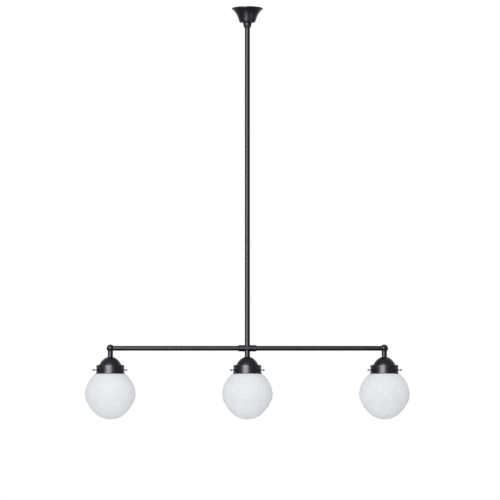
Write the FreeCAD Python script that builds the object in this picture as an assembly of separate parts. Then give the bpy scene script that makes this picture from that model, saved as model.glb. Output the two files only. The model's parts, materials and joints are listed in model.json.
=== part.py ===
import FreeCAD, Part
import math
import os

# Linear island pendant: a canopy and one rigid rod carry a bar with three domed shade holders.
# Each holder grips a closed opal glass shade with three thumb screws.
# Millimetres, +Z up. The origin is the middle of the ceiling bracket, in the ceiling plane.
# +X runs along the bar and +Y points away from the viewer.

os.makedirs("parts", exist_ok=True)
V = FreeCAD.Vector

# Overall layout
bar_drop = 1038.0            # ceiling to the axis of the bar
light_pitch = 415.0          # from one light to the next
sides = {"left": -1, "middle": 0, "right": 1}

# Clearances
press_gap = 0.03             # a joint that is pressed, screwed or brazed tight
slide_gap = 0.05             # a running or screwed fit
seat_gap = 0.3               # a soft or curved piece from its seat

# Tubes
rod_radius = 7.8
rod_wall = 1.0
arm_radius = 7.4
arm_wall = 1.0
stem_radius = 8.0
stem_wall = 1.5
bush_length = 14.0           # threaded plug pressed into each end of the rod

# Threaded nipples and their nuts, with the threads as plain cylinders
thread_radius = 5.0
nut_across = 14.0
nut_height = 3.0
thread_spare = 1.0           # how far a bolt or nipple stands past its nut
nipple_seat = 1.6            # from the bore of the bar to the end of a nipple
nipple_reach = 12.0          # how far a nipple goes into the bush of the rod
holder_nipple = 6.0          # how far a nipple goes into the cap of a lampholder

# Ceiling bracket
bracket_length = 76.0
bracket_width = 18.0
bracket_sheet = 2.0
bracket_drop = 8.0           # ceiling to the top of the middle pad
bracket_pad = 30.0
bracket_rise = 8.0           # length of each sloped riser along X
slot_spacing = 60.0
slot_length = 9.0
slot_width = 4.8
ear_length = 14.0            # the ear that carries the terminal block
ear_width = 34.0

# Hanger: bolt, nut and open yoke under the bracket
bolt_radius = 3.0
bolt_across = 10.0
bolt_head = 4.0
bolt_nut = 4.5
yoke_height = 26.0
yoke_inside = 22.0
yoke_width = 14.0
yoke_sheet = 2.0

# Earth screw and terminal block
earth_radius = 2.0
earth_head = 3.6
earth_head_height = 2.6
earth_head_round = 0.9
block_gap = 2.0              # bracket to block
block_length = 24.0
block_depth = 11.0
block_height = 13.0
pole_pitch = 8.0
sleeve_rise = 4.5            # foot of the block to the axis of a sleeve
sleeve_radius = 2.15
sleeve_bore = 1.7
sleeve_inset = 0.5           # how far a sleeve ends inside its hole
clamp_radius = 1.2
clamp_shares = (0.28, 0.72)  # where the two clamp screws sit across the block
clamp_recess = 0.4
clamp_bite = 0.6             # how far a clamp screw stops short of the sleeve's axis
fixing_radius = 1.3
fixing_recess = 0.6
well_gap = 0.4               # round a screw in its well
well_depth = 2.0
block_edge = 0.8
driver_width = 0.5           # slot for a screwdriver
driver_depth = 0.6
earth_driver_width = 0.8
earth_driver_depth = 1.1

# Canopy and collar
canopy_radius = 47.5
canopy_rim = 2.6
canopy_step = 2.6            # how far the cup is set in from its rim
canopy_step_height = 1.0
canopy_waist = 26.3          # radius near the bottom of the cup
canopy_knee = 7.2            # height of that waist above the floor
canopy_hollow = (0.42, 0.42) # how far in and down the middle of the bell's curve lies
canopy_foot_step = 1.6
canopy_height = 43.9
canopy_corner = 4.5
canopy_sheet = 1.0
canopy_hole_gap = 0.3
collar_radius = 12.6
collar_foot = 8.8
collar_height = 16.0
collar_band = 5.5            # straight part at the top of the collar
collar_swell = 0.30          # how far in the middle of the taper lies
collar_edge = 0.6
grub_radius = 2.0
grub_drop = 3.05             # top of the collar to the grub screw
grub_key = 1.0

# Cross fitting at the middle of the bar
sleeve_outer = 9.7
sleeve_length = 55.4
sleeve_chamfer = 1.2
socket_depth = 19.5          # how deep each arm sits in the cross
post_height = 11.0           # bar axis to the seam with the rod
neck_drop = 16.7             # bar axis to the seam with a stem
set_screw_radius = 1.5
set_screw_key = 0.8
set_screw_dimple = 0.5       # depth of its seat in the arm

# End balls
ball_radius = 11.6
ball_socket = 5.3            # how deep an arm sits in a ball

# Shade holder
dome_drop = 26.9             # bar axis to the top of the dome
dome_height = 24.1
dome_flat = 11.0             # radius of the flat seat under the stem
dome_foot = 33.8
dome_middle = (8.2, 0.45)    # middle of the curve: inside the foot, and share of the height
skirt_radius = 42.4
skirt_height = 25.8
skirt_corner = 1.5
skirt_flare = 1.3            # how far the lower rim turns out
skirt_flare_height = 5.5
skirt_band = 2.4             # straight band at the foot of the rim
holder_sheet = 1.0

# Thumb screws, three to a holder
screw_count = 3
screw_turn = 90.0            # azimuth of the rear one
screw_height = 10.3          # above the rim of the skirt
screw_radius = 1.5
screw_tip = 1.0
screw_reach = 60.4           # light axis to the outer end of the head
screw_point = 0.8            # length of the tapered tip
screw_head = 2.3
screw_head_length = 6.4
screw_head_round = 1.2
screw_neck = 0.6             # taper between shank and head
boss_radius = 3.0
boss_length = 3.2

# Lampholder, for an ordinary screw-in lamp
holder_radius = 19.8
cap_height = 17.0
cap_wall = 2.0
cap_neck = 7.6
cap_neck_height = 3.0
cap_shoulder = 10.5          # top of the cap to its full width
cap_floor = 7.5              # top of the cap to its hollow
plug_drop = 12.6             # top of the cap to the plug of the body
body_length = 54.5           # whole lampholder, cap included
body_bead = 1.0              # rim at the mouth
body_bead_height = 4.0
contact_drop = 4.0           # foot of the cap to the middle contact
shell_radius = 13.9
shell_wall = 0.35
shell_length = 24.0
shell_drop = 2.0             # top of the lamp's cap to the top of the shell
leaf_length = 12.0
leaf_width = 5.0
leaf_sheet = 0.5
tongue_radius = 2.2
tongue_height = 0.6

# Lamp
lamp_cap_radius = 13.2
lamp_cap_length = 26.0
lamp_cap_wall = 1.0
lamp_contact = 5.0           # radius of the insulated contact
lamp_seat = 4.0              # how deep the glass sits in its cap
lamp_radius = 27.5
lamp_length = 98.0
lamp_neck = 11.5
lamp_glass = 0.8

# Glass shade: heights are above or below its widest plane
globe_radius = 76.3
globe_wall = 4.0
globe_drop = 60.3            # rim of the holder down to the widest plane
globe_top = 59.2             # the flat shoulder under the holder
globe_top_radius = 45.6
globe_upper = (66.0, 35.5)   # a point on the upper side: radius, height
globe_flank_top = (73.8, -19.0)
belly_bulge = 0.9            # how far the belly stands out between the two
globe_flank = (58.2, -45.8)
globe_tip_edge = (40.8, -64.3)
globe_depth = 78.0
neck_rise = 9.2              # neck above the thumb screws
neck_gap = 0.8               # neck to the inside of the skirt
neck_taper = 13.0            # degrees, wider towards the top
neck_wall = 4.2
neck_root = 3.0              # fillet between neck and shoulder
neck_lip = 1.0               # rounded edge at the top

# Leads: one two-core lead from the terminal block to each lampholder
lead_radius = 1.6
lead_gap = 0.26              # between two leads in the rod
lead_clear = 0.3             # from the leads to the bore of a nipple
lead_turns = {"right": 0, "left": 1, "middle": 2}    # order of the leads round the rod
lead_azimuth = 30.0          # where the first of them lies
lead_bend = 8.0
lead_start = 3.5             # first straight run, out of the block
lead_fork = 8.0              # above the top nipple, where the leads come together
lead_stagger = 1.5           # the outer leads come together this much lower

# Heights worked out from the sizes above
bar_z = -bar_drop
seam_z = bar_z - neck_drop
dome_z = bar_z - dome_drop
shoulder_z = dome_z - dome_height
rim_z = shoulder_z - skirt_height
screw_z = rim_z + screw_height
globe_z = rim_z - globe_drop
pad_z = -bracket_drop - bracket_sheet
yoke_z = pad_z - yoke_height
sleeve_z = pad_z - block_height + sleeve_rise
canopy_z = -canopy_height
collar_z = canopy_z - seat_gap
grub_z = collar_z - grub_drop
rod_foot_z = bar_z + post_height
nut_z = dome_z - holder_sheet
cap_z = nut_z - nut_height - seat_gap
plug_z = cap_z - plug_drop
body_z = cap_z - body_length
contact_z = cap_z - cap_height - contact_drop
lamp_z = contact_z - leaf_sheet - tongue_height - seat_gap
top_nipple_z = yoke_z + yoke_sheet + nut_height + thread_spare
stem_nipple_z = bar_z - arm_radius + arm_wall - nipple_seat

# Radii worked out from the sizes above
arm_bore = arm_radius - arm_wall
lead_circle = (2 * lead_radius + lead_gap) / math.sqrt(3)
thread_bore = lead_circle + lead_radius + lead_clear
rod_bore = rod_radius - rod_wall
neck_top_radius = skirt_radius - holder_sheet - neck_gap
neck_slope = math.tan(math.radians(neck_taper))
tip_radius = neck_top_radius - neck_slope * (neck_rise - screw_tip) + seat_gap
skirt_bore = skirt_radius - holder_sheet
block_y = bracket_width / 2 + block_gap
socket_x = sleeve_length / 2 - socket_depth
ball_face = math.sqrt(ball_radius ** 2 - arm_radius ** 2)


def disc(radius, low, high, x=0.0, y=0.0):
    """A solid cylinder that stands upright between two heights."""
    return Part.makeCylinder(radius, high - low, V(x, y, low))


def tube(outer, inner, low, high, x=0.0, y=0.0):
    return disc(outer, low, high, x, y).cut(disc(inner, low - 1, high + 1, x, y))


def rod_along(axis, radius, start, length):
    """A solid cylinder from a start point along any axis."""
    return Part.makeCylinder(radius, length, V(*start), V(*axis))


def block(low, high):
    return Part.makeBox(high[0] - low[0], high[1] - low[1], high[2] - low[2], V(*low))


def turned(start, steps, x=0.0):
    """Turn a closed outline of radius and height pairs about the upright axis at x.

    A step is a point for a straight edge, or two points, middle and end, for an arc.
    """
    edges = []
    here = V(start[0], 0, start[1])
    for step in steps:
        if isinstance(step[0], tuple):
            middle = V(step[0][0], 0, step[0][1])
            there = V(step[1][0], 0, step[1][1])
            edges.append(Part.Arc(here, middle, there).toShape())
        else:
            there = V(step[0], 0, step[1])
            if there.sub(here).Length > 1e-6:
                edges.append(Part.makeLine(here, there))
        here = there
    first = V(start[0], 0, start[1])
    if here.sub(first).Length > 1e-6:
        edges.append(Part.makeLine(here, first))
    face = Part.Face(Part.Wire(edges))
    solid = face.revolve(V(0, 0, 0), V(0, 0, 1), 360)
    solid.translate(V(x, 0, 0))
    return solid


def hexagon(across, low, high, x=0.0, y=0.0):
    corner = across / math.sqrt(3)
    points = []
    for k in range(7):
        angle = math.radians(60 * k + 30)
        points.append(V(x + corner * math.cos(angle), y + corner * math.sin(angle), low))
    return Part.Face(Part.makePolygon(points)).extrude(V(0, 0, high - low))


def hex_head(across, low, high, x=0.0):
    """A hexagon with its corners turned off, above and below."""
    size = (high - low) / 5
    corner = across / math.sqrt(3)
    rounding = turned((0, low), [
        (corner - size, low), (corner, low + size), (corner, high - size), (corner - size, high), (0, high),
    ], x)
    return hexagon(across, low, high, x).common(rounding)


def nut(across, bore, low, high, x=0.0):
    return hex_head(across, low, high, x).cut(disc(bore, low - 1, high + 1, x))


def driver_slot(x, y, low, high, width, reach):
    """The cutter for a screwdriver slot along X."""
    return block((x - reach, y - width / 2, low), (x + reach, y + width / 2, high))


def edges_along_y(shape):
    """The straight edges that run along Y."""
    found = []
    for edge in shape.Edges:
        first, last = edge.Vertexes[0].Point, edge.Vertexes[-1].Point
        if math.hypot(first.x - last.x, first.z - last.z) < 1e-6 < abs(first.y - last.y):
            found.append(edge)
    return found


def upright_edges(shape):
    found = []
    for edge in shape.Edges:
        first, last = edge.Vertexes[0].Point, edge.Vertexes[-1].Point
        if math.hypot(first.x - last.x, first.y - last.y) < 1e-6 < abs(first.z - last.z):
            found.append(edge)
    return found


def export(name, shape):
    solids = shape.Solids
    if not solids or any(not s.isValid() or s.Volume <= 0 for s in solids):
        print("bad solid in", name)
    result = solids[0] if len(solids) == 1 else Part.makeCompound(solids)
    result.exportStep("parts/" + name + ".step")
    print(name, len(solids), round(sum(s.Volume for s in solids), 1))


def light_x(side):
    return sides[side] * light_pitch


# Ceiling bracket and hanger

def bracket_profile(width_low, width_high):
    """The joggled strap, drawn from the side and extruded across."""
    foot = bracket_length / 2
    knee = bracket_pad / 2 + bracket_rise
    pad = bracket_pad / 2
    top = [(-foot, 0), (-knee, 0), (-pad, -bracket_drop), (pad, -bracket_drop), (knee, 0), (foot, 0)]
    low = [(x, z - bracket_sheet) for x, z in reversed(top)]
    points = [V(x, width_low, z) for x, z in top + low]
    points.append(points[0])
    return Part.Face(Part.makePolygon(points)).extrude(V(0, width_high - width_low, 0))


def slot(x):
    half = slot_width / 2
    reach = (slot_length - slot_width) / 2
    low = -bracket_sheet - 1
    cut = block((x - reach, -half, low), (x + reach, half, 1))
    for end in (-reach, reach):
        cut = cut.fuse(disc(half, low, 1, x + end))
    return cut


def ceiling_bracket():
    half = bracket_width / 2
    body = bracket_profile(-half, half)
    ear_x = -block_length / 2
    ear_y = half + ear_length
    body = body.fuse(block((ear_x, half, pad_z), (ear_x + ear_width, ear_y, pad_z + bracket_sheet)))
    body = body.cut(disc(bolt_radius + slide_gap, pad_z - 1, 1))
    for x in (-slot_spacing / 2, slot_spacing / 2):
        body = body.cut(slot(x))
    x, y = earth_place()
    body = body.cut(disc(earth_radius + slide_gap, pad_z - 1, 1, x, y))
    for x, y in fixing_places():
        body = body.cut(disc(fixing_radius + slide_gap, pad_z - 1, 1, x, y))
    return body.removeSplitter()


def earth_place():
    ear_end = ear_width - block_length / 2
    return ((block_length / 2 + ear_end) / 2, bracket_width / 2 + ear_length / 2)


def fixing_places():
    return [(s * pole_pitch / 2, block_y + block_depth / 2) for s in (-1, 1)]


def hanger_bolt():
    top = -bracket_drop
    low = pad_z - yoke_sheet - bolt_nut - thread_spare
    return hex_head(bolt_across, top, top + bolt_head).fuse(disc(bolt_radius, low, top)).removeSplitter()


def hanger_nut():
    top = pad_z - yoke_sheet
    return nut(bolt_across, bolt_radius + slide_gap, top - bolt_nut, top)


def hanger_yoke():
    """A strip bent into a closed rectangle, open to the front and back."""
    inside = yoke_inside / 2
    outside = inside + yoke_sheet
    half = yoke_width / 2
    body = block((-outside, -half, yoke_z), (outside, half, pad_z))
    inner = block((-inside, -half - 1, yoke_z + yoke_sheet), (inside, half + 1, pad_z - yoke_sheet))
    inner = inner.makeFillet(yoke_sheet / 2, edges_along_y(inner))
    body = body.makeFillet(yoke_sheet * 1.5, edges_along_y(body)).cut(inner)
    body = body.cut(disc(bolt_radius + slide_gap, pad_z - yoke_sheet - 1, pad_z + 1))
    return body.cut(disc(thread_radius + slide_gap, yoke_z - 1, yoke_z + yoke_sheet + 1))


def rod_nipple_top():
    return tube(thread_radius, thread_bore, yoke_z - nipple_reach, top_nipple_z)


def rod_lock_nut():
    low = yoke_z + yoke_sheet
    return nut(nut_across, thread_radius + slide_gap, low, low + nut_height)


def terminal_block():
    """A three-pole block under the ear, with a wire hole and two screw wells at each pole."""
    half = block_length / 2
    foot = pad_z - block_height
    body = block((-half, block_y, foot), (half, block_y + block_depth, pad_z))
    body = body.makeFillet(block_edge, upright_edges(body))
    for x in pole_places():
        start = (x, block_y - 1, sleeve_z)
        body = body.cut(rod_along((0, 1, 0), sleeve_radius + press_gap, start, block_depth + 2))
        for y in clamp_places():
            body = body.cut(disc(clamp_radius + well_gap, foot - 1, sleeve_z, x, y))
    for x, y in fixing_places():
        body = body.cut(disc(fixing_radius + slide_gap, foot - 1, pad_z + 1, x, y))
        body = body.cut(disc(fixing_radius + well_gap, foot - 1, foot + well_depth, x, y))
    return body


def pole_places():
    return [k * pole_pitch for k in (-1, 0, 1)]


def clamp_places():
    return [block_y + block_depth * share for share in clamp_shares]


def terminal_sleeves():
    solids = []
    for x in pole_places():
        start = (x, block_y + sleeve_inset, sleeve_z)
        body = rod_along((0, 1, 0), sleeve_radius, start, block_depth - 2 * sleeve_inset)
        body = body.cut(rod_along((0, 1, 0), sleeve_bore, (x, block_y, sleeve_z), block_depth))
        for y in clamp_places():
            body = body.cut(disc(clamp_radius + press_gap, sleeve_z - sleeve_radius - 1, sleeve_z, x, y))
        solids.append(body)
    return Part.makeCompound(solids)


def slotted_screw(radius, low, high, x, y):
    """A headless screw, driven from below."""
    screw = disc(radius, low, high, x, y)
    return screw.cut(driver_slot(x, y, low - 1, low + driver_depth, driver_width, radius + 1))


def terminal_screws():
    low = pad_z - block_height + clamp_recess
    high = sleeve_z - clamp_bite
    return Part.makeCompound([slotted_screw(clamp_radius, low, high, x, y)
                              for x in pole_places() for y in clamp_places()])


def block_screws():
    low = pad_z - block_height + fixing_recess
    high = pad_z + bracket_sheet
    return Part.makeCompound([slotted_screw(fixing_radius, low, high, x, y) for x, y in fixing_places()])


def earth_screw():
    x, y = earth_place()
    low = pad_z - earth_head_height
    head = disc(earth_head, low, pad_z, x, y)
    rim = [e for e in head.Edges if len(e.Vertexes) == 1 and e.Vertexes[0].Z < low + 0.1]
    head = head.makeFillet(earth_head_round, rim)
    body = head.fuse(disc(earth_radius, pad_z - 0.5, pad_z + bracket_sheet + thread_spare, x, y))
    slot_top = low + earth_driver_depth
    return body.cut(driver_slot(x, y, low - 1, slot_top, earth_driver_width, earth_head + 1)).removeSplitter()


# Canopy and collar

def canopy_outline(inset):
    """The bell of the canopy from its rim to its floor, set in by a sheet thickness."""
    slope = canopy_step_height / canopy_step
    rim_low = inset * (math.hypot(1, slope) - slope) - canopy_rim
    shoulder = V(canopy_radius - canopy_step, 0, -canopy_rim - canopy_step_height)
    waist = V(canopy_waist, 0, canopy_z + canopy_knee)
    hollow_in, hollow_down = canopy_hollow
    bulge_r = waist.x + (shoulder.x - waist.x) * hollow_in
    bulge = V(bulge_r, 0, waist.z * hollow_down - canopy_rim * (1 - hollow_down))
    centre = Part.Arc(shoulder, bulge, waist).toShape().Curve.Center
    shoulder, bulge, waist = [p + (p - centre).normalize() * inset for p in (shoulder, bulge, waist)]
    lower = canopy_waist - canopy_foot_step - inset
    low = canopy_z + inset
    corner = canopy_corner - inset
    turn = corner * (1 - math.sqrt(0.5))
    return [
        (canopy_radius - inset, rim_low), (shoulder.x, shoulder.z), ((bulge.x, bulge.z), (waist.x, waist.z)),
        (lower, low + corner), ((lower - turn, low + turn), (lower - corner, low)),
    ]


def canopy_cup():
    outer = turned((0, 0), [(canopy_radius, 0)] + canopy_outline(0) + [(0, canopy_z)])
    inner = turned((0, 1), [(canopy_radius - canopy_sheet, 1)] + canopy_outline(canopy_sheet)
                   + [(0, canopy_z + canopy_sheet)])
    hole = disc(rod_radius + canopy_hole_gap, canopy_z - 1, canopy_z + canopy_sheet + 1)
    return outer.cut(inner).cut(hole)


def canopy_collar():
    low = collar_z - collar_height
    taper = collar_radius - collar_foot
    band_z = collar_z - collar_band
    swell = (collar_radius - taper * collar_swell, (band_z + low) / 2)
    body = turned((0, collar_z), [
        (collar_radius - collar_edge, collar_z), (collar_radius, collar_z - collar_edge),
        (collar_radius, band_z), (swell, (collar_foot, low)), (0, low),
    ])
    body = body.cut(disc(rod_radius + slide_gap, low - 1, collar_z + 1))
    return body.cut(rod_along((0, 1, 0), grub_radius + slide_gap, (0, 0, grub_z), collar_radius + 1))


def grub(radius, start, length, key):
    """A headless screw along Y with a key socket in its outer end."""
    body = rod_along((0, 1, 0), radius, start, length)
    x, y, z = start
    return body.cut(rod_along((0, 1, 0), key, (x, y + length / 2, z), length))


def collar_grub_screw():
    start = (0, rod_radius + slide_gap, grub_z)
    return grub(grub_radius, start, collar_radius - rod_radius - collar_edge, grub_key)


# Rod, cross and arms

def rod_bush(low):
    """A threaded plug pressed into the end of a tube."""
    return tube(rod_bore - press_gap, thread_radius + slide_gap, low, low + bush_length)


def down_rod():
    return tube(rod_radius, rod_bore, rod_foot_z, yoke_z)


def rod_nipple_foot():
    return tube(thread_radius, thread_bore, bar_z + arm_bore + nipple_seat, rod_foot_z + nipple_reach)


def set_screw_x(side):
    return side * (socket_x + socket_depth / 2)


def cross_fitting():
    half = sleeve_length / 2
    body = rod_along((1, 0, 0), sleeve_outer, (-half, 0, bar_z), sleeve_length)
    body = body.makeChamfer(sleeve_chamfer, [e for e in body.Edges if len(e.Vertexes) == 1])
    body = body.fuse(disc(rod_radius, bar_z, rod_foot_z)).fuse(disc(stem_radius, seam_z, bar_z))
    body = body.cut(rod_along((1, 0, 0), arm_bore, (-half - 1, 0, bar_z), sleeve_length + 2))
    for side in (-1, 1):
        start = (side * socket_x, 0, bar_z)
        body = body.cut(rod_along((side, 0, 0), arm_radius + press_gap, start, socket_depth + 1))
        start = (set_screw_x(side), 0, bar_z)
        body = body.cut(rod_along((0, 1, 0), set_screw_radius + slide_gap, start, sleeve_outer + 1))
    return body.cut(disc(thread_radius + slide_gap, seam_z - 1, rod_foot_z + 1)).removeSplitter()


def arm(sign):
    """An arm tube, from its socket in the cross to its socket in the end ball."""
    start = socket_x + seat_gap
    length = light_pitch - ball_face + ball_socket - start
    body = rod_along((sign, 0, 0), arm_radius, (sign * start, 0, bar_z), length)
    body = body.cut(rod_along((sign, 0, 0), arm_bore, (sign * (start - 1), 0, bar_z), length + 2))
    seat = (set_screw_x(sign), arm_radius - set_screw_dimple, bar_z)
    return body.cut(rod_along((0, 1, 0), set_screw_radius + slide_gap, seat, set_screw_dimple + 1))


def arm_set_screws():
    solids = []
    for side in (-1, 1):
        start = (set_screw_x(side), arm_radius - set_screw_dimple + slide_gap, bar_z)
        solids.append(grub(set_screw_radius, start, sleeve_outer - arm_radius, set_screw_key))
    return Part.makeCompound(solids)


def end_ball(sign):
    """A ball elbow: the arm enters from the side and the stem hangs from its neck."""
    x = sign * light_pitch
    body = Part.makeSphere(ball_radius, V(x, 0, bar_z)).fuse(disc(stem_radius, seam_z, bar_z, x))
    floor_x = sign * (light_pitch - ball_face + ball_socket + seat_gap)
    body = body.cut(rod_along((-sign, 0, 0), arm_radius + press_gap, (floor_x, 0, bar_z), ball_radius * 2))
    body = body.cut(rod_along((-sign, 0, 0), arm_bore, (x, 0, bar_z), ball_radius * 2))
    body = body.cut(Part.makeSphere(arm_bore, V(x, 0, bar_z)))
    return body.cut(disc(thread_radius + slide_gap, seam_z - 1, bar_z, x)).removeSplitter()


# One light

def stem(x):
    return tube(stem_radius, stem_radius - stem_wall, dome_z, seam_z, x)


def stem_nipples():
    low = cap_z - holder_nipple
    places = [light_x(s) for s in sides]
    return Part.makeCompound([tube(thread_radius, thread_bore, low, stem_nipple_z, x) for x in places])


def holder_nuts():
    bore = thread_radius + slide_gap
    return Part.makeCompound([nut(nut_across, bore, nut_z - nut_height, nut_z, light_x(s)) for s in sides])


def holder_outline(inset):
    """Dome, flat shoulder, skirt and turned-out rim, set in by a sheet thickness."""
    middle_in, middle_down = dome_middle
    lean = inset * math.sqrt(0.5)
    dome_mid = (dome_foot - middle_in - lean, dome_z - dome_height * middle_down - lean)
    ledge_z = shoulder_z - inset
    skirt = skirt_radius - inset
    corner = skirt_corner - inset / 2
    turn = corner * (1 - math.sqrt(0.5))
    return [
        (dome_flat, dome_z - inset), (dome_mid, (dome_foot - inset, ledge_z)),
        (skirt - corner, ledge_z), ((skirt - turn, ledge_z - turn), (skirt, ledge_z - corner)),
        (skirt, rim_z + skirt_flare_height), (skirt + skirt_flare, rim_z + skirt_band),
        (skirt + skirt_flare, rim_z),
    ]


def shade_holder(x):
    outer = turned((0, dome_z), holder_outline(0) + [(0, rim_z)], x)
    inner = turned((0, dome_z - holder_sheet), holder_outline(holder_sheet) + [
        (skirt_bore + skirt_flare, rim_z - 1), (0, rim_z - 1)], x)
    body = outer.cut(inner)
    root = skirt_radius - holder_sheet / 2
    for angle in screw_angles():
        axis = (math.cos(angle), math.sin(angle), 0)
        start = (x + axis[0] * root, axis[1] * root, screw_z)
        body = body.fuse(rod_along(axis, boss_radius, start, boss_length + holder_sheet / 2))
        body = body.cut(rod_along(axis, screw_radius + slide_gap, (x, 0, screw_z), screw_reach))
    return body.cut(disc(thread_radius + slide_gap, nut_z - 1, dome_z + 1, x)).removeSplitter()


def screw_angles():
    return [math.radians(screw_turn + k * 360.0 / screw_count) for k in range(screw_count)]


def thumb_screw(x, angle):
    """Plain tip, threaded shank and a rounded head, turned as one piece."""
    axis = V(math.cos(angle), math.sin(angle), 0)
    head = screw_reach - screw_head_length
    turn = screw_head_round * (1 - math.sqrt(0.5))
    body = turned((0, tip_radius), [
        (screw_tip, tip_radius), (screw_radius, tip_radius + screw_point), (screw_radius, head - screw_neck),
        (screw_head, head + screw_neck), (screw_head, screw_reach - screw_head_round),
        ((screw_head - turn, screw_reach - turn), (screw_head - screw_head_round, screw_reach)),
        (0, screw_reach),
    ])
    body.rotate(V(0, 0, 0), V(0, 0, 1).cross(axis), 90)
    body.translate(V(x, 0, screw_z))
    return body


def lampholder_cap(x):
    """The screwed-on upper half, clamped to the foot of its nipple."""
    low = cap_z - cap_height
    neck_z = cap_z - cap_neck_height
    full_z = cap_z - cap_shoulder
    swell = (holder_radius - (holder_radius - cap_neck) * 0.36, neck_z - (neck_z - full_z) * 0.32)
    outer = turned((0, cap_z), [
        (cap_neck, cap_z), (cap_neck, neck_z), (swell, (holder_radius, full_z)), (holder_radius, low),
        (0, low)], x)
    inside = holder_radius - cap_wall
    inner = turned((0, cap_z - cap_floor), [
        (cap_neck, cap_z - cap_floor), (inside, full_z - cap_wall * 0.75), (inside, low - 1),
        (0, low - 1)], x)
    return outer.cut(inner).cut(disc(thread_radius + slide_gap, low - 1, cap_z + 1, x))


def lampholder_caps():
    return Part.makeCompound([lampholder_cap(light_x(s)) for s in sides])


def lampholder(x):
    """The insulating body: a plug inside the cap, then the skirt round the screw shell."""
    spigot = holder_radius - cap_wall - press_gap
    low = cap_z - cap_height - press_gap
    bead = holder_radius + body_bead
    edge = body_bead * 0.8
    body = turned((0, plug_z), [
        (spigot, plug_z), (spigot, low), (holder_radius, low), (holder_radius, body_z + body_bead_height),
        (bead, body_z + body_bead_height - edge), (bead, body_z + edge), (bead - edge, body_z),
        (0, body_z)], x)
    return body.cut(disc(shell_radius + press_gap, body_z - 1, contact_z, x))


def socket_shells():
    top = lamp_z - shell_drop
    inside = shell_radius - shell_wall
    return Part.makeCompound([tube(shell_radius, inside, top - shell_length, top, light_x(s)) for s in sides])


def socket_contact(x):
    """The middle contact: a leaf with a raised tongue."""
    low = contact_z - leaf_sheet
    reach = leaf_length / 2
    leaf = block((x - reach, -leaf_width / 2, low), (x + reach, leaf_width / 2, contact_z))
    return leaf.fuse(disc(tongue_radius, low - tongue_height, low, x)).removeSplitter()


def socket_contacts():
    return Part.makeCompound([socket_contact(light_x(s)) for s in sides])


def lamp_cap(x):
    """Screw cap of the lamp, with the insulated contact at its top."""
    low = lamp_z - lamp_cap_length
    cone_z = lamp_z - lamp_cap_length * 0.16
    shoulder = lamp_cap_radius * 0.82
    side_z = cone_z - (lamp_cap_radius - shoulder) * 0.75
    body = turned((0, lamp_z), [
        (lamp_contact * 0.84, lamp_z), (lamp_contact, lamp_z - lamp_contact * 0.24), (shoulder, cone_z),
        (lamp_cap_radius, side_z), (lamp_cap_radius, low), (0, low)], x)
    body = body.cut(disc(lamp_neck + press_gap, low - 1, low + lamp_seat, x))
    return body.cut(disc(lamp_cap_radius - lamp_cap_wall, low + lamp_seat, side_z - lamp_cap_wall, x))


def lamp_outline(inset):
    """The envelope: a neck that swells into a ball."""
    low = lamp_z - lamp_length
    centre = low + lamp_radius
    radius = lamp_radius - inset
    neck = lamp_neck - inset
    top = lamp_z - lamp_cap_length + lamp_seat - seat_gap
    neck_end = top - lamp_seat - 1.0
    angle = math.radians(38.0)
    side = (radius * math.cos(angle), centre + radius * math.sin(angle))
    waist = ((side[0] + neck) / 2 - 1.4, (side[1] + neck_end) / 2 - 0.8)
    flank = (radius * math.cos(angle / 2), centre + radius * math.sin(angle / 2))
    under = (radius * math.sqrt(0.5), centre - radius * math.sqrt(0.5))
    return [
        (neck, top), (neck, neck_end), (waist, side), (flank, (radius, centre)),
        (under, (0, centre - radius)),
    ]


def lamp_glass_shell(x):
    outer = lamp_outline(0)
    inner = lamp_outline(lamp_glass)
    top = outer[0][1]
    shell = turned((0, top), outer, x)
    return shell.cut(turned((0, top + 1), [(inner[0][0], top + 1)] + inner[1:], x))


# Glass shade

def arc_offset(start, middle, end, inset):
    """The same arc on a smaller radius, as three points."""
    ax, ay = start
    bx, by = middle
    cx, cy = end
    d = 2 * (ax * (by - cy) + bx * (cy - ay) + cx * (ay - by))
    sa, sb, sc = ax * ax + ay * ay, bx * bx + by * by, cx * cx + cy * cy
    ux = (sa * (by - cy) + sb * (cy - ay) + sc * (ay - by)) / d
    uy = (sa * (cx - bx) + sb * (ax - cx) + sc * (bx - ax)) / d
    radius = math.hypot(ax - ux, ay - uy)
    share = (radius - inset) / radius
    moved = [(ux + (px - ux) * share, uy + (py - uy) * share) for px, py in (start, middle, end)]
    return [(0.0 if abs(px) < 1e-6 else px, py) for px, py in moved]


def globe_arcs():
    """The four arcs of the outline, from the shoulder down to the tip: start, middle, end."""
    edge_r, edge_z = globe_tip_edge
    tip_centre = (edge_r ** 2 + edge_z ** 2 - globe_depth ** 2) / (2 * (edge_z + globe_depth))
    tip_round = globe_depth + tip_centre
    half_turn = math.asin(edge_r / tip_round) / 2
    tip = (tip_round * math.sin(half_turn), tip_centre - tip_round * math.cos(half_turn))
    belly = ((globe_radius + globe_flank_top[0]) / 2 + belly_bulge, globe_flank_top[1] / 2)
    points = [
        (globe_top_radius, globe_top), globe_upper, (globe_radius, 0.0), belly,
        globe_flank_top, globe_flank, globe_tip_edge, tip, (0.0, -globe_depth),
    ]
    return [points[k:k + 3] for k in (0, 2, 4, 6)]


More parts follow.
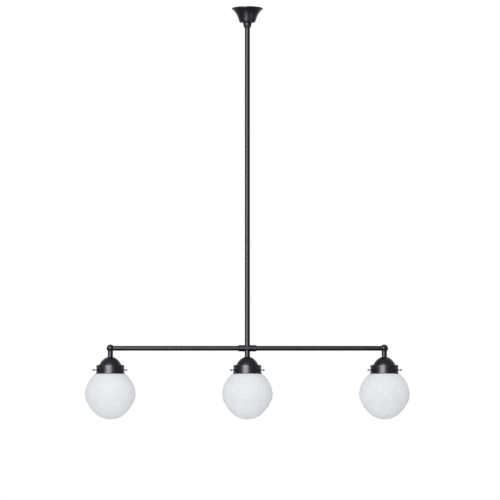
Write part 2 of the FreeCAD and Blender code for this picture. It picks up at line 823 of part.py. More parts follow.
def glass_shade(x):
    """A closed globe with an open, tapered neck."""
    neck_top = screw_z + neck_rise
    shoulder = globe_z + globe_top
    neck_low = shoulder + neck_root
    top_r = neck_top_radius
    low_r = top_r - neck_slope * (neck_top - neck_low)
    root_turn = neck_root * (1 - math.sqrt(0.5))
    lip_turn = neck_lip * (1 - math.sqrt(0.5))
    steps = [
        (top_r - neck_lip, neck_top), ((top_r - lip_turn, neck_top - lip_turn), (top_r, neck_top - neck_lip)),
        (low_r, neck_low), ((low_r + root_turn, shoulder + root_turn), (low_r + neck_root, shoulder)),
        (globe_top_radius, shoulder),
    ]
    for start, middle, end in globe_arcs():
        steps.append(((middle[0], globe_z + middle[1]), (end[0], globe_z + end[1])))
    outer = turned((0, neck_top), steps, x)
    bore = low_r - neck_wall
    inner = [arc_offset(*arc, globe_wall) for arc in globe_arcs()]
    hollow = [(bore, neck_top + 1), (bore, globe_z + inner[0][0][1])]
    for start, middle, end in inner:
        hollow.append((start[0], globe_z + start[1]))
        hollow.append(((middle[0], globe_z + middle[1]), (end[0], globe_z + end[1])))
    hollow.append((0, globe_z + inner[-1][2][1]))
    return outer.cut(turned((0, neck_top + 1), hollow, x))


# Leads

def rounded_path(points, bend):
    """Straight runs joined by tangent arcs, each as large as its two runs allow."""
    edges = []
    here = points[0]
    radii = []
    for k in range(1, len(points) - 1):
        a, b, c = points[k - 1], points[k], points[k + 1]
        first, second = b.sub(a), c.sub(b)
        turn = first.getAngle(second)
        reach = min(bend * math.tan(turn / 2), 0.45 * min(first.Length, second.Length))
        radii.append(reach / math.tan(turn / 2))
        u = V(first).normalize()
        w = V(second).normalize()
        enter = b.sub(V(u).multiply(reach))
        leave = b.add(V(w).multiply(reach))
        towards = V(w).sub(V(u)).normalize()
        sagitta = radii[-1] * (1 / math.cos(turn / 2) - 1)
        middle = b.add(V(towards).multiply(sagitta))
        edges.append(Part.makeLine(here, enter))
        edges.append(Part.Arc(enter, middle, leave).toShape())
        here = leave
    edges.append(Part.makeLine(here, points[-1]))
    return Part.Wire(edges), radii


def lead(name):
    """Terminal block, down the rod, along the arm and down through the nipple to the lampholder."""
    sign = sides[name]
    angle = math.radians(lead_azimuth + lead_turns[name] * 360.0 / len(sides))
    x = lead_circle * math.cos(angle)
    y = lead_circle * math.sin(angle)
    pole = sign * pole_pitch
    fork_z = top_nipple_z + lead_fork - lead_stagger * abs(sign)
    end_z = plug_z + seat_gap
    points = [V(pole, block_y, sleeve_z), V(pole, block_y - lead_start, sleeve_z), V(x, y, fork_z)]
    if sign:
        points += [V(x, y, bar_z), V(light_x(name), y, bar_z), V(light_x(name), y, end_z)]
    else:
        points.append(V(x, y, end_z))
    path, radii = rounded_path(points, lead_bend)
    first = path.Edges[0]
    start = first.valueAt(first.FirstParameter)
    circle = Part.makeCircle(lead_radius, start, V(0, -1, 0))
    tube_solid = path.makePipeShell([Part.Wire(circle)], True, False)
    expected = math.pi * lead_radius ** 2 * path.Length
    print("lead", name, "length", round(path.Length), "radii", [round(r, 1) for r in radii],
          "volume ratio", round(tube_solid.Volume / expected, 4))
    return tube_solid


def main():
    export("ceiling_bracket", ceiling_bracket())
    export("hanger_bolt", hanger_bolt())
    export("hanger_nut", hanger_nut())
    export("hanger_yoke", hanger_yoke())
    export("rod_nipple_top", rod_nipple_top())
    export("rod_lock_nut", rod_lock_nut())
    export("terminal_block", terminal_block())
    export("terminal_sleeves", terminal_sleeves())
    export("terminal_screws", terminal_screws())
    export("block_screws", block_screws())
    export("earth_screw", earth_screw())
    export("canopy_cup", canopy_cup())
    export("canopy_collar", canopy_collar())
    export("collar_grub_screw", collar_grub_screw())
    export("rod_bush_top", rod_bush(yoke_z - bush_length))
    export("rod_bush_foot", rod_bush(rod_foot_z))
    export("down_rod", down_rod())
    export("rod_nipple_foot", rod_nipple_foot())
    export("cross_fitting", cross_fitting())
    export("arm_set_screws", arm_set_screws())
    for side, sign in (("left", -1), ("right", 1)):
        export("arm_" + side, arm(sign))
        export("end_ball_" + side, end_ball(sign))
    export("stem_nipples", stem_nipples())
    export("holder_nuts", holder_nuts())
    export("lampholder_caps", lampholder_caps())
    export("socket_shells", socket_shells())
    export("socket_contacts", socket_contacts())
    for side in sides:
        x = light_x(side)
        export("stem_" + side, stem(x))
        export("shade_holder_" + side, shade_holder(x))
        export("lampholder_" + side, lampholder(x))
        export("lamp_cap_" + side, lamp_cap(x))
        export("lamp_glass_" + side, lamp_glass_shell(x))
        export("glass_shade_" + side, glass_shade(x))
        export("lead_" + side, lead(side))
        for number, angle in enumerate(screw_angles()):
            export("thumb_screw_" + side + "_" + str(number + 1), thumb_screw(x, angle))


main()
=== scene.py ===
import json
import math

import bmesh
import bpy
from mathutils import Matrix, Vector

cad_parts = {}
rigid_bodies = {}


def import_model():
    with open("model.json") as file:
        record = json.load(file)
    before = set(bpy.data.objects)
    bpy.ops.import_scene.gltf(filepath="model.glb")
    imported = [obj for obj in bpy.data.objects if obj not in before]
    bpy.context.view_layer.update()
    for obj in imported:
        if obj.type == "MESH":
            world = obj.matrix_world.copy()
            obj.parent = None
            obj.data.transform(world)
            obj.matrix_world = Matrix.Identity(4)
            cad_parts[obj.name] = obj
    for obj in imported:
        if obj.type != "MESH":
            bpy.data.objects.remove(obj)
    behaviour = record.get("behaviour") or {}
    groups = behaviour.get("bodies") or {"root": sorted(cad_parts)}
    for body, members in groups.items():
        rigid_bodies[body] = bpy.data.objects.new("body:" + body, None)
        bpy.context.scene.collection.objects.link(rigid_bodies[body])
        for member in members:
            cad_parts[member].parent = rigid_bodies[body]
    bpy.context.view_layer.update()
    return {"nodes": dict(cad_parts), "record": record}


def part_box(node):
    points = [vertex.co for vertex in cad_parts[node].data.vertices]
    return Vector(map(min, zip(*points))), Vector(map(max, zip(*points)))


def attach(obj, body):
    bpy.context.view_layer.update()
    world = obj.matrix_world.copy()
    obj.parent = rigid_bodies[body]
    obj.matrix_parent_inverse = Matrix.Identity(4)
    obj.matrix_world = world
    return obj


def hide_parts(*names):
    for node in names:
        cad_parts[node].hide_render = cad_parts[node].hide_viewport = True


# Linear island pendant: black powder-coated metal and pressed opal glass, in metres.
# +Z is up, +X runs along the bar and +Y points away from the viewer.

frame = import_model()

MM = 0.001
SIDES = ("left", "middle", "right")

# Sheet and edges of the metalwork
sheet = 1.0 * MM
edge_round = 0.35 * MM
seat_gap = 0.3 * MM
slide_gap = 0.05 * MM
merge_gap = 0.002 * MM

# How far the middle of a quarter circle lies from its corner, as a share of its radius
corner_share = 1 - math.sqrt(0.5)

# Canopy, as steps down from its rim
canopy_rim = 2.6 * MM
canopy_step = 2.6 * MM
canopy_step_height = 1.0 * MM
canopy_waist = 26.3 * MM
canopy_knee = 7.2 * MM
canopy_hollow = (0.42, 0.42)
canopy_foot_step = 1.6 * MM
canopy_corner = 4.5 * MM

# Shade holder
dome_flat = 11.0 * MM
dome_foot = 33.8 * MM
dome_height = 24.1 * MM
dome_middle = (8.2 * MM, 0.45)
skirt_corner = 1.5 * MM
skirt_flare = 1.3 * MM
flare_height = 5.5 * MM
flare_band = 2.4 * MM
boss_radius = 3.0 * MM
boss_length = 3.2 * MM
boss_round = 0.4 * MM

# Thumb screws: angles in degrees, and the thread's depth and form as shares of its pitch
screws = 3
screw_first = 90
screw_spacing = 120
screw_radius = 1.5 * MM
screw_pitch = 0.7 * MM
thread_depth = 0.55
thread_crest = 0.15
thread_root = (0.5, 0.65)
screw_point = 1.0 * MM
screw_point_share = 0.7
screw_head = 2.3 * MM
screw_head_length = 6.4 * MM
screw_collar = 0.5 * MM
screw_crown = 1.6 * MM
screw_crown_share = 0.45
screw_bevel = 0.3 * MM
knurls = 30
knurl_depth = 0.16 * MM

# Glass shade: heights are above or below its widest plane
globe_above_tip = 78.0 * MM
globe_top = (45.6 * MM, 59.2 * MM)
globe_upper = (66.0 * MM, 35.5 * MM)
globe_belly = 0.9 * MM
globe_flank_top = (73.8 * MM, -19.0 * MM)
globe_flank = (58.2 * MM, -45.8 * MM)
globe_tip_edge = (40.8 * MM, -64.3 * MM)
globe_wall = 4.0 * MM
neck_gap = 0.8 * MM
neck_taper = math.radians(13.0)
neck_wall = 4.2 * MM
neck_root = 3.0 * MM
neck_lip = 1.0 * MM
neck_lip_share = 0.3
neck_root_share = 0.293

# Pressed relief of the glass
relief_steps = 480
relief_row = 1.5 * MM
flutes = 40
flute_depth = 0.65 * MM
chevrons = 8
chevron_rise = 29.0 * MM
chevron_pitch = 10.8 * MM
chevron_depth = 1.3 * MM
chevron_low = -52.0 * MM
chevron_rows = 4
relief_blend = 1.6 * MM
relief_from_tip = (4.0 * MM, 16.0 * MM)
relief_to_top = (48.0 * MM, 56.0 * MM)
relief_facing = 0.2
relief_margin = 0.1 * MM

# Camera and stage
eye = (0.008, -8.94, -1.3333)
eye_tilt = math.radians(3.8)
eye_lens = 212.4
eye_sensor = 36
floor_reach = 30
floor_drop = 2.4
floor_fade = (4.0, 12.0)

# Light: a key that falls on everything, and gleams that show on the black coat alone
room_light = 0.77
key_light = ((-0.6, -3.6, -1.55), (0, 0, -1.15), (2.4, 2.4), 47)
gleams = (
    # name, place, aim, size, power, word in the names of the pieces
    ("gleam", (-3.1, -7.0, 1.15), (-3.1, 0, 1.15), (4.2, 9.5), 3350, ""),
    ("holder_gleam", (-0.2, -7.0, 1.15), (-0.2, 0, 1.15), (1.6, 9.5), 1270, "holder"),
    ("canopy_gleam", (-0.55, -1.8, -1.6), (0, 0, -0.05), (0.8, 1.1), 25, "canopy"),
    ("canopy_side_gleam", (2.3, -1.8, -1.9), (0, 0, -0.05), (1.0, 2.2), 32, "canopy"))


def skirt_size():
    """Radius of the skirt of a shade holder, above its turned-out rim."""
    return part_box("shade_holder_middle")[1].x - skirt_flare


def light_x(side):
    """Where one of the three lights hangs along the bar."""
    low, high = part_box("stem_" + side)
    return (low.x + high.x) / 2


# Outlines

def arc(start, middle, end, count):
    """Points along the arc through three points, without the first of them."""
    (ax, ay), (bx, by), (cx, cy) = start, middle, end
    twice = 2 * (ax * (by - cy) + bx * (cy - ay) + cx * (ay - by))
    sa, sb, sc = ax * ax + ay * ay, bx * bx + by * by, cx * cx + cy * cy
    ux = (sa * (by - cy) + sb * (cy - ay) + sc * (ay - by)) / twice
    uy = (sa * (cx - bx) + sb * (ax - cx) + sc * (bx - ax)) / twice
    radius = math.hypot(ax - ux, ay - uy)
    first = math.atan2(ay - uy, ax - ux)
    turn = math.remainder(math.atan2(by - uy, bx - ux) - first, math.tau)
    turn += math.remainder(math.atan2(cy - uy, cx - ux) - first - turn, math.tau)
    angles = [first + turn * k / count for k in range(1, count + 1)]
    return [(ux + radius * math.cos(a), uy + radius * math.sin(a)) for a in angles]


def arc_inside(start, middle, end, inset, count):
    """The same arc, set in towards its centre."""
    points = [start] + arc(start, middle, end, count)
    moved = []
    for k, (x, y) in enumerate(points):
        before = points[max(k - 1, 0)]
        after = points[min(k + 1, count)]
        run = Vector((after[0] - before[0], after[1] - before[1])).normalized()
        moved.append((max(x + run.y * inset, 0.0), y - run.x * inset))
    return moved


def quarter(corner_x, corner_y, size, count=5):
    """A rounded corner that turns from going out to going down."""
    angles = [math.pi / 2 * (1 - k / count) for k in range(count + 1)]
    x, y = corner_x - size, corner_y - size
    return [(x + size * math.cos(a), y + size * math.sin(a)) for a in angles]


# Meshes

def lathe(outline, steps=96, closed=True):
    """Spin an outline of radius and height points about the upright axis."""
    bm = bmesh.new()
    ring = [bm.verts.new((radius, 0, height)) for radius, height in outline]
    pairs = zip(ring, ring[1:] + ring[:1]) if closed else zip(ring, ring[1:])
    wire = [bm.edges.new(pair) for pair in pairs]
    bmesh.ops.spin(bm, geom=ring + wire, cent=(0, 0, 0), axis=(0, 0, 1), angle=math.tau,
                   steps=steps, use_merge=True)
    bmesh.ops.remove_doubles(bm, verts=bm.verts, dist=merge_gap)
    bmesh.ops.recalc_face_normals(bm, faces=bm.faces)
    return bm


def soften(bm, size, segments=3, sharp=30.0):
    """Round every edge that is sharper than an angle in degrees."""
    turn = math.radians(sharp)
    edges = [e for e in bm.edges if len(e.link_faces) == 2 and e.calc_face_angle() > turn]
    bmesh.ops.bevel(bm, geom=edges, offset=size, offset_type="OFFSET", segments=segments, profile=0.5,
                    affect="EDGES", clamp_overlap=True, material=-1)


def new_mesh(name, bm):
    """Turn a bmesh into a mesh and free it."""
    mesh = bpy.data.meshes.new(name)
    bm.to_mesh(mesh)
    bm.free()
    return mesh


def new_object(name, data):
    """An object in the scene, at the origin."""
    thing = bpy.data.objects.new(name, data)
    bpy.context.scene.collection.objects.link(thing)
    return thing


def join(bm, other):
    """Add another bmesh as a shell of its own."""
    spare = new_mesh("spare", other)
    bm.from_mesh(spare)
    bpy.data.meshes.remove(spare)


def thread(radius, pitch, low, high, steps=24):
    """A screw thread between two heights, with flat ends."""
    depth = pitch * thread_depth
    root_start, root_end = thread_root
    turns = math.ceil((high - low) / pitch) + 2
    outline = []
    for k in range(turns):
        z = low - 1.5 * pitch + k * pitch
        outline += [(radius, z), (radius, z + pitch * thread_crest),
                    (radius - depth, z + pitch * root_start), (radius - depth, z + pitch * root_end)]
    bm = bmesh.new()
    ring = [bm.verts.new((x, 0, z)) for x, z in outline]
    wire = [bm.edges.new(pair) for pair in zip(ring, ring[1:])]
    bmesh.ops.spin(bm, geom=ring + wire, cent=(0, 0, 0), axis=(0, 0, 1), angle=math.tau, steps=steps,
                   dvec=(0, 0, pitch / steps))
    bmesh.ops.remove_doubles(bm, verts=bm.verts, dist=merge_gap)
    for height, normal in ((low, -1), (high, 1)):
        geom = bm.verts[:] + bm.edges[:] + bm.faces[:]
        cut = bmesh.ops.bisect_plane(bm, geom=geom, plane_co=(0, 0, height), plane_no=(0, 0, normal),
                                     clear_outer=True)
        rim = [e for e in cut["geom_cut"] if isinstance(e, bmesh.types.BMEdge)]
        bmesh.ops.edgeloop_fill(bm, edges=rim)
    bmesh.ops.recalc_face_normals(bm, faces=bm.faces)
    return bm


def lay_down(bm):
    """Turn an upright mesh to point along +X."""
    bmesh.ops.rotate(bm, verts=bm.verts, cent=(0, 0, 0), matrix=Matrix.Rotation(math.pi / 2, 3, "Y"))


def turned_copy(bm, angle, place):
    """A copy turned about the upright axis and then moved."""
    copy = bm.copy()
    bmesh.ops.rotate(copy, verts=copy.verts, cent=(0, 0, 0), matrix=Matrix.Rotation(angle, 3, "Z"))
    bmesh.ops.translate(copy, verts=copy.verts, vec=place)
    return copy


def piece(name, bm, finish, node, body, sharp=38.0):
    """Make the mesh an object that stands for a node and rides on its body."""
    mesh = new_mesh(name, bm)
    for polygon in mesh.polygons:
        polygon.use_smooth = True
    mesh.set_sharp_from_angle(angle=math.radians(sharp))
    mesh.materials.append(finish)
    thing = new_object(name, mesh)
    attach(thing, body)
    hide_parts(node)
    return thing


# Finishes

def new_finish(name):
    """A material with its node tree, its shader and its Object coordinates."""
    material = bpy.data.materials.new(name)
    material.use_nodes = True
    nodes = material.node_tree.nodes
    place = nodes.new("ShaderNodeTexCoord")
    return material, nodes, material.node_tree.links, nodes["Principled BSDF"], place.outputs["Object"]


def noise(nodes, links, place, scale, detail=3.0):
    """Clouds or grain, at a scale per metre."""
    node = nodes.new("ShaderNodeTexNoise")
    node.inputs["Scale"].default_value = scale
    node.inputs["Detail"].default_value = detail
    links.new(place, node.inputs["Vector"])
    return node.outputs["Fac"]


def spread(nodes, links, value, low, high, start=0.35, end=0.65):
    """Map a value to a range. The first bounds suit a noise, which keeps near its middle."""
    node = nodes.new("ShaderNodeMapRange")
    node.inputs["From Min"].default_value = start
    node.inputs["From Max"].default_value = end
    node.inputs["To Min"].default_value = low
    node.inputs["To Max"].default_value = high
    links.new(value, node.inputs["Value"])
    return node.outputs["Result"]


def tint(nodes, links, value, first, second):
    """Blend two colours by a value."""
    node = nodes.new("ShaderNodeMix")
    node.data_type = "RGBA"
    node.inputs["A"].default_value = (*first, 1)
    node.inputs["B"].default_value = (*second, 1)
    links.new(value, node.inputs["Factor"])
    return node.outputs["Result"]


def bump(nodes, links, shader, value, strength, height):
    """Raise a finish by a value."""
    node = nodes.new("ShaderNodeBump")
    node.inputs["Strength"].default_value = strength
    node.inputs["Distance"].default_value = height
    links.new(value, node.inputs["Height"])
    links.new(node.outputs["Normal"], shader.inputs["Normal"])


def powder_coat():
    """Satin black powder coat with a faint orange-peel texture."""
    material, nodes, links, shader, place = new_finish("black_powder_coat")
    cloud = noise(nodes, links, place, 45.0)
    links.new(tint(nodes, links, cloud, (0.0004, 0.0006, 0.0034), (0.0010, 0.0012, 0.0052)),
              shader.inputs["Base Color"])
    links.new(spread(nodes, links, cloud, 0.30, 0.34), shader.inputs["Roughness"])
    shader.inputs["Specular IOR Level"].default_value = 0.20
    shader.inputs["Specular Tint"].default_value = (0.93, 0.935, 1.0, 1)
    peel = noise(nodes, links, place, 900.0, detail=2.0)
    bump(nodes, links, shader, peel, strength=0.05, height=0.02 * MM)
    return material


def metal(name, light, dark, rough_low, rough_high, grain=700.0, depth=0.03 * MM):
    """Plated or plain metal with small clouds and a fine grain."""
    material, nodes, links, shader, place = new_finish(name)
    cloud = noise(nodes, links, place, 120.0, detail=5.0)
    links.new(tint(nodes, links, cloud, dark, light), shader.inputs["Base Color"])
    links.new(spread(nodes, links, cloud, rough_high, rough_low), shader.inputs["Roughness"])
    shader.inputs["Metallic"].default_value = 1.0
    fine = noise(nodes, links, place, grain, detail=2.0)
    bump(nodes, links, shader, fine, strength=0.3, height=depth)
    return material


def moulded(name, light, dark, rough, grain=1100.0):
    """Moulded plastic, rubber or phenolic with a fine tooth."""
    material, nodes, links, shader, place = new_finish(name)
    cloud = noise(nodes, links, place, 80.0, detail=4.0)
    links.new(tint(nodes, links, cloud, dark, light), shader.inputs["Base Color"])
    links.new(spread(nodes, links, cloud, rough - 0.05, rough + 0.05), shader.inputs["Roughness"])
    fine = noise(nodes, links, place, grain, detail=2.0)
    bump(nodes, links, shader, fine, strength=0.25, height=0.04 * MM)
    return material


def opal_glass():
    """White opal glass, darkened in the grooves of its relief by painted shade."""
    material, nodes, links, shader, place = new_finish("opal_glass")
    groove = nodes.new("ShaderNodeAttribute")
    groove.attribute_name = "groove"
    # Painted shade: the groove depth blends the glass to a darker colour in the grooves of the relief.
    body = tint(nodes, links, groove.outputs["Fac"], (0.862, 0.877, 0.902), (0.812, 0.826, 0.853))
    cloud = noise(nodes, links, place, 14.0, detail=4.0)
    veil = nodes.new("ShaderNodeMix")
    veil.data_type = "RGBA"
    veil.blend_type = "MULTIPLY"
    veil.inputs["Factor"].default_value = 1.0
    links.new(body, veil.inputs["A"])
    links.new(tint(nodes, links, cloud, (0.96, 0.96, 0.965), (1.0, 1.0, 1.0)), veil.inputs["B"])
    links.new(veil.outputs["Result"], shader.inputs["Base Color"])
    links.new(spread(nodes, links, cloud, 0.55, 0.65), shader.inputs["Roughness"])
    shader.inputs["Specular IOR Level"].default_value = 0.15
    shader.inputs["Subsurface Weight"].default_value = 0.25
    shader.inputs["Subsurface Radius"].default_value = (1.0, 1.0, 1.0)
    shader.inputs["Subsurface Scale"].default_value = 3.0 * MM
    ripple = noise(nodes, links, place, 160.0, detail=2.0)
    bump(nodes, links, shader, ripple, strength=0.12, height=0.08 * MM)
    return material


def lamp_frost():
    """Frosted lamp glass."""
    material, nodes, links, shader, place = new_finish("lamp_frost")
    cloud = noise(nodes, links, place, 30.0)
    links.new(tint(nodes, links, cloud, (0.88, 0.88, 0.86), (0.94, 0.94, 0.93)),
              shader.inputs["Base Color"])
    links.new(spread(nodes, links, cloud, 0.35, 0.45), shader.inputs["Roughness"])
    fine = noise(nodes, links, place, 1500.0, detail=2.0)
    bump(nodes, links, shader, fine, strength=0.2, height=0.02 * MM)
    return material


slot_of = {part["node"]: part["material_slot"] for part in frame["record"]["subparts"]}

# Finishes by the record's slots; a metal's or plastic's lighter colour comes first
finishes = {
    "black_powder_coat": powder_coat(),
    "plated_steel": metal("plated_steel", (0.60, 0.60, 0.58), (0.44, 0.45, 0.46), 0.28, 0.42),
    "brass": metal("brass", (0.72, 0.52, 0.22), (0.60, 0.41, 0.16), 0.25, 0.40),
    "black_steel": metal("black_steel", (0.09, 0.09, 0.09), (0.05, 0.05, 0.05), 0.35, 0.5),
    "screw_metal": metal("screw_metal", (0.105, 0.105, 0.11), (0.06, 0.06, 0.065), 0.30, 0.42),
    "lamp_cap_metal": metal("lamp_cap_metal", (0.78, 0.78, 0.77), (0.62, 0.62, 0.62), 0.2, 0.32),
    "white_nylon": moulded("white_nylon", (0.78, 0.78, 0.75), (0.70, 0.70, 0.67), 0.5),
    "black_phenolic": moulded("black_phenolic", (0.030, 0.028, 0.027), (0.020, 0.019, 0.019), 0.3),
    "lead_sheath": moulded("lead_sheath", (0.66, 0.66, 0.63), (0.58, 0.58, 0.56), 0.55),
    "opal_glass": opal_glass(),
    "lamp_glass": lamp_frost(),
}


# Canopy

def canopy_outline(inset):
    """The bell from the ceiling down to its floor, set in by an even wall."""
    low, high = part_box("canopy_cup")
    slope = canopy_step_height / canopy_step
    rim_low = inset * (math.hypot(1, slope) - slope) - canopy_rim
    shoulder = (high.x - canopy_step, -canopy_rim - canopy_step_height)
    waist = (canopy_waist, low.z + canopy_knee)
    hollow_in, hollow_down = canopy_hollow
    bulge = (waist[0] + (shoulder[0] - waist[0]) * hollow_in,
             waist[1] * hollow_down - canopy_rim * (1 - hollow_down))
    lower = canopy_waist - canopy_foot_step - inset
    foot = low.z + inset
    corner = canopy_corner - inset
    turn = corner * corner_share
    points = [(high.x - inset, 0.0), (high.x - inset, rim_low)]
    points += arc_inside(shoulder, bulge, waist, inset, count=28) + [(lower, foot + corner)]
    return points + arc(points[-1], (lower - turn, foot + turn), (lower - corner, foot), count=8)


def canopy_cup():
    """The pressed bell, with a hole for the rod in its floor."""
    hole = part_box("down_rod")[1].x + seat_gap
    outside = canopy_outline(0.0)
    inside = canopy_outline(sheet)
    bm = lathe(outside + [(hole, outside[-1][1]), (hole, inside[-1][1])] + inside[::-1], steps=128)
    soften(bm, edge_round)
    piece("canopy_bell", bm, finishes["black_powder_coat"], "canopy_cup", "canopy_cup")


canopy_cup()


# Shade holders and thumb screws

def holder_outline(inset):
    """From the flat seat of the stem, over the dome and down the skirt to its rim."""
    low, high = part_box("shade_holder_middle")
    top = high.z - inset
    rim = low.z
    middle_in, middle_down = dome_middle
    lean = inset * math.sqrt(0.5)
    ledge = high.z - dome_height - inset
    bulge = (dome_foot - middle_in - lean, high.z - dome_height * middle_down - lean)
    skirt = skirt_size() - inset
    foot = skirt + skirt_flare
    points = [(dome_flat, top)]
    points += arc(points[0], bulge, (dome_foot - inset, ledge), count=30)
    points += quarter(skirt, ledge, skirt_corner - inset / 2)
    return points + [(skirt, rim + flare_height), (foot, rim + flare_band), (foot, rim)]


def screw_angles():
    """The directions of a holder's thumb screws, the first one at the back."""
    return [math.radians(screw_first + screw_spacing * k) for k in range(screws)]


def shade_holder():
    """The pressed shell alone, for the middle light; holders() joins its three screw bosses to it."""
    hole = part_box("rod_nipple_foot")[1].x + slide_gap
    outside = holder_outline(0.0)
    inside = holder_outline(sheet)
    top = [(hole, inside[0][1]), (hole, outside[0][1])]
    bm = lathe(top + outside + inside[::-1], steps=144)
    soften(bm, edge_round, sharp=40.0)
    return bm


def screw_height():
    """How high the middles of the thumb screws lie."""
    low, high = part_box("thumb_screw_middle_1")
    return (low.z + high.z) / 2


def boss():
    """A screw boss that points along +X, with a hole through it."""
    hole = screw_radius + slide_gap
    start = skirt_size() - sheet
    end = skirt_size() + boss_length
    bm = lathe([(hole, start), (boss_radius, start), (boss_radius, end), (hole, end)], steps=40)
    soften(bm, boss_round)
    lay_down(bm)
    return bm


def thumb_screw():
    """Threaded shank and a knurled, domed head along +X, from its tip outwards."""
    low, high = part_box("thumb_screw_middle_1")
    tip, reach = low.y, high.y
    root = screw_radius - screw_pitch * thread_depth
    shank = tip + screw_point
    head = reach - screw_head_length
    knurl_low = head + screw_collar
    knurl_high = reach - screw_crown
    crown = (screw_head - screw_bevel, knurl_high + screw_bevel)
    outline = [(0, tip), (root * screw_point_share, tip), (root, shank), (root, head - screw_collar / 2)]
    outline += [(screw_radius, head), (screw_head - screw_bevel, knurl_low - screw_bevel)]
    outline += [(screw_head, knurl_low), (screw_head, knurl_high), crown]
    outline += arc(crown, (screw_head * screw_crown_share, reach - screw_bevel / 2), (0, reach), count=7)
    bm = lathe(outline, steps=knurls * 2, closed=False)
    for vertex in bm.verts:
        across = vertex.co.xy.length
        turn = math.atan2(vertex.co.y, vertex.co.x) / math.tau
        if across > screw_head - knurl_depth / 2 and round(turn * knurls * 2) % 2:
            vertex.co.xy *= 1 - knurl_depth / across
    join(bm, thread(screw_radius, screw_pitch, shank, head - screw_collar))
    lay_down(bm)
    return bm


def holders():
    """All three shade holders with their thumb screws."""
    height = screw_height()
    shell = shade_holder()
    for angle in screw_angles():
        join(shell, turned_copy(boss(), angle, (0, 0, height)))
    screw = thumb_screw()
    black = finishes["black_powder_coat"]
    for side in SIDES:
        x = light_x(side)
        bm = turned_copy(shell, 0, (x, 0, 0))
        piece("holder_shell_" + side, bm, black, "shade_holder_" + side, "root")
        for k, angle in enumerate(screw_angles()):
            node = "thumb_screw_" + side + "_" + str(k + 1)
            name = "knurled_screw_" + side + "_" + str(k + 1)
            bm = turned_copy(screw, angle, (x, 0, height))
            piece(name, bm, finishes["screw_metal"], node, node, sharp=50.0)
    shell.free()
    screw.free()


holders()


# Glass shades

def rows(start, middle, end):
    """How many relief rows an arc takes."""
    length = math.dist(start, middle) + math.dist(middle, end)
    return math.ceil(length / relief_row)


def globe_arcs():
    """The four arcs of the globe, from its shoulder down to its tip."""
    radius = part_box("glass_shade_middle")[1].x
    edge_r, edge_z = globe_tip_edge
    depth = globe_above_tip
    centre = (edge_r ** 2 + edge_z ** 2 - depth ** 2) / (2 * (edge_z + depth))
    half = math.asin(edge_r / (depth + centre)) / 2
    tip = ((depth + centre) * math.sin(half), centre - (depth + centre) * math.cos(half))
    belly = ((radius + globe_flank_top[0]) / 2 + globe_belly, globe_flank_top[1] / 2)
    points = [globe_top, globe_upper, (radius, 0.0), belly, globe_flank_top, globe_flank,
              globe_tip_edge, tip, (0.0, -depth)]
    return [points[k:k + 3] for k in (0, 2, 4, 6)]


def globe_outline():
    """Outside from the tip up to the neck, then the inside down to the tip again."""
    low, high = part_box("glass_shade_middle")
    plane = low.z + globe_above_tip
    neck_top = high.z - plane
    neck_radius = skirt_size() - sheet - neck_gap
    shoulder = globe_top[1]
    foot = neck_radius - math.tan(neck_taper) * (neck_top - shoulder - neck_root)
    outside = [globe_top]
    inside = []
    for start, middle, end in globe_arcs():
        outside += arc(start, middle, end, rows(start, middle, end))
        inside += arc_inside(start, middle, end, globe_wall, count=9)[1:-1]
    bore = foot - neck_wall
    turn = neck_root * neck_root_share
    root_top = (foot, shoulder + neck_root)
    root = arc(root_top, (foot + turn, shoulder + turn), (foot + neck_root, shoulder), count=6)
    lip = quarter(neck_radius, neck_top, neck_lip)
    turn = neck_lip * neck_lip_share
    neck = [(bore, shoulder - globe_wall), (bore, neck_top - neck_lip),
            (bore + turn, neck_top - turn), (bore + neck_lip, neck_top)]
    neck += lip + [root_top] + root
    path = [(0.0, -globe_above_tip + globe_wall)] + inside[::-1] + neck + outside
    return [(x, y + plane) for x, y in path], plane


def rib(turns):
    """Depth between rounded ribs: 0 on a rib and 1 in the groove beside it."""
    return 1 - abs(math.cos(math.pi * turns))


def wave(turns):
    """Depth across soft ridges: 0 on a ridge and 1 in the valley beside it."""
    return (1 - math.cos(math.tau * turns)) / 2


def ease(value, start, end):
    """A smooth step from 0 to 1."""
    t = min(max((value - start) / (end - start), 0), 1)
    return t * t * (3 - 2 * t)


def groove(angle, radius, height):
    """How deep the pressed relief lies, with the front of the globe at -Y."""
    turn = (angle + math.pi / 2) / math.tau
    off_axis = abs((turn * chevrons + 0.5) % 1 - 0.5) * 2
    fold = height - chevron_rise * off_axis - chevron_low
    band = chevron_rows * chevron_pitch
    inside = ease(fold, -relief_blend, 0) * (1 - ease(fold, band, band + relief_blend))
    calm = ease(radius, *relief_from_tip) * (1 - ease(height, *relief_to_top))
    flute = flute_depth * rib(turn * flutes)
    chevron = chevron_depth * wave(fold / chevron_pitch)
    return calm * (flute * (1 - inside) + chevron * inside)


def glass_shades():
    """The three closed globes with their pressed relief."""
    outline, plane = globe_outline()
    bm = lathe(outline, steps=relief_steps, closed=False)
    bm.normal_update()
    # Each point keeps its groove depth, which the opal glass turns into painted shade in the grooves.
    depth_layer = bm.verts.layers.float.new("groove")
    moves = []
    for vertex in bm.verts:
        radius = vertex.co.xy.length
        height = vertex.co.z - plane
        outward = vertex.normal.dot(Vector((vertex.co.x, vertex.co.y, height)).normalized())
        if outward > relief_facing and height < globe_top[1] + relief_margin:
            depth = groove(math.atan2(vertex.co.y, vertex.co.x), radius, height)
            vertex[depth_layer] = depth / chevron_depth
            moves.append((vertex, vertex.normal * -depth))
    for vertex, move in moves:
        vertex.co += move
    for side in SIDES:
        node = "glass_shade_" + side
        copy = turned_copy(bm, 0, (light_x(side), 0, 0))
        piece("pressed_shade_" + side, copy, finishes["opal_glass"], node, node, sharp=60.0)
    bm.free()


glass_shades()


# Packed nodes

def dress_nodes():
    """Give each node its finish, which shows where no piece stands for it."""
    for name, thing in frame["nodes"].items():
        thing.data.materials.clear()
        thing.data.materials.append(finishes[slot_of[name]])


dress_nodes()


# Stage, light and camera

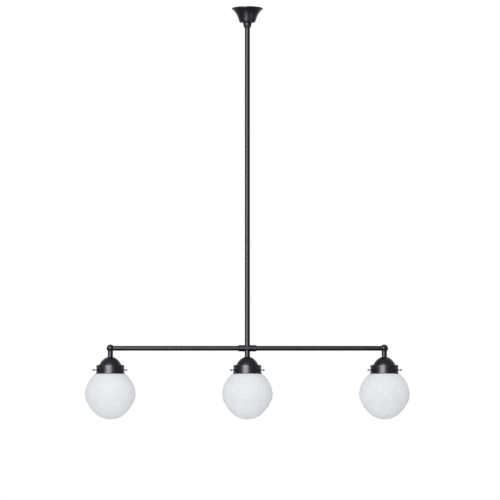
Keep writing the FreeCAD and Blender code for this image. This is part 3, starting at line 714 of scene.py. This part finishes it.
def shader_mix(nodes, links, choice, first, second):
    """The first shader where the choice is 0 and the second where it is 1."""
    node = nodes.new("ShaderNodeMixShader")
    links.new(choice, node.inputs["Fac"])
    links.new(first, node.inputs[1])
    links.new(second, node.inputs[2])
    return node.outputs["Shader"]


def sees_white(nodes, links):
    """1 for the rays that see the white background: straight, mirrored or through glass."""
    path = nodes.new("ShaderNodeLightPath")
    seen = path.outputs["Is Camera Ray"]
    for kind in ("Is Glossy Ray", "Is Transmission Ray"):
        more = nodes.new("ShaderNodeMath")
        more.operation = "MAXIMUM"
        links.new(seen, more.inputs[0])
        links.new(path.outputs[kind], more.inputs[1])
        seen = more.outputs["Value"]
    return seen


def floor():
    """A pale floor that turns white far off, and is clear from below."""
    bm = bmesh.new()
    bmesh.ops.create_grid(bm, x_segments=2, y_segments=2, size=floor_reach)
    bmesh.ops.translate(bm, verts=bm.verts, vec=(0, 0, -floor_drop))
    thing = new_object("floor", new_mesh("floor", bm))
    material, nodes, links, shader, place = new_finish("pale_floor")
    speck = noise(nodes, links, place, 3.0)
    links.new(tint(nodes, links, speck, (0.73, 0.73, 0.73), (0.76, 0.76, 0.76)),
              shader.inputs["Base Color"])
    shader.inputs["Roughness"].default_value = 0.8
    distance = nodes.new("ShaderNodeVectorMath")
    distance.operation = "LENGTH"
    links.new(place, distance.inputs[0])
    fade = nodes.new("ShaderNodeMath")
    fade.operation = "MULTIPLY"
    links.new(spread(nodes, links, distance.outputs["Value"], 0, 1, *floor_fade), fade.inputs[0])
    links.new(sees_white(nodes, links), fade.inputs[1])
    white = nodes.new("ShaderNodeEmission")
    seen = shader_mix(nodes, links, fade.outputs["Value"], shader.outputs["BSDF"],
                      white.outputs["Emission"])
    side = nodes.new("ShaderNodeNewGeometry")
    clear = nodes.new("ShaderNodeBsdfTransparent")
    seen = shader_mix(nodes, links, side.outputs["Backfacing"], seen, clear.outputs["BSDF"])
    links.new(seen, nodes["Material Output"].inputs["Surface"])
    thing.data.materials.append(material)


def softbox(name, place, aim, size, power, matt=True):
    """A soft area light. One that isn't for matt surfaces shows only as a gleam on gloss."""
    light = bpy.data.lights.new(name, "AREA")
    light.shape = "RECTANGLE"
    light.size, light.size_y = size
    light.energy = power
    thing = new_object(name, light)
    thing.location = place
    thing.rotation_euler = (Vector(aim) - Vector(place)).to_track_quat("-Z", "Y").to_euler()
    thing.visible_camera = False
    thing.visible_diffuse = matt
    return thing


def shine_on(light, finish, word):
    """Let a light fall alone on the pieces that have a finish and a word in their name."""
    lit = bpy.data.collections.new(light.name + "_on_" + finish.name)
    for thing in bpy.data.objects:
        if thing.type == "MESH" and finish.name in thing.data.materials and word in thing.name:
            lit.objects.link(thing)
    light.light_linking.receiver_collection = lit


def world():
    """Even light, with a white background."""
    scene = bpy.context.scene
    scene.world = bpy.data.worlds.new("studio")
    scene.world.use_nodes = True
    nodes, links = scene.world.node_tree.nodes, scene.world.node_tree.links
    light = nodes["Background"]
    light.inputs["Color"].default_value = (1, 1, 1, 1)
    light.inputs["Strength"].default_value = room_light
    white = nodes.new("ShaderNodeBackground")
    white.inputs["Color"].default_value = (1, 1, 1, 1)
    mixed = shader_mix(nodes, links, sees_white(nodes, links), light.outputs["Background"],
                       white.outputs["Background"])
    links.new(mixed, nodes["World Output"].inputs["Surface"])


def camera():
    """A long lens from a little below the light, tilted up."""
    data = bpy.data.cameras.new("camera")
    data.lens = eye_lens
    data.sensor_width = eye_sensor
    thing = new_object("camera", data)
    thing.location = eye
    thing.rotation_euler = (math.pi / 2 + eye_tilt, 0, 0)
    bpy.context.scene.camera = thing


floor()
softbox("key", *key_light)
for name, place, aim, size, power, word in gleams:
    gleam = softbox(name, place, aim, size, power, matt=False)
    shine_on(gleam, finishes["black_powder_coat"], word)
world()
camera()
bpy.context.scene.view_settings.view_transform = "Standard"
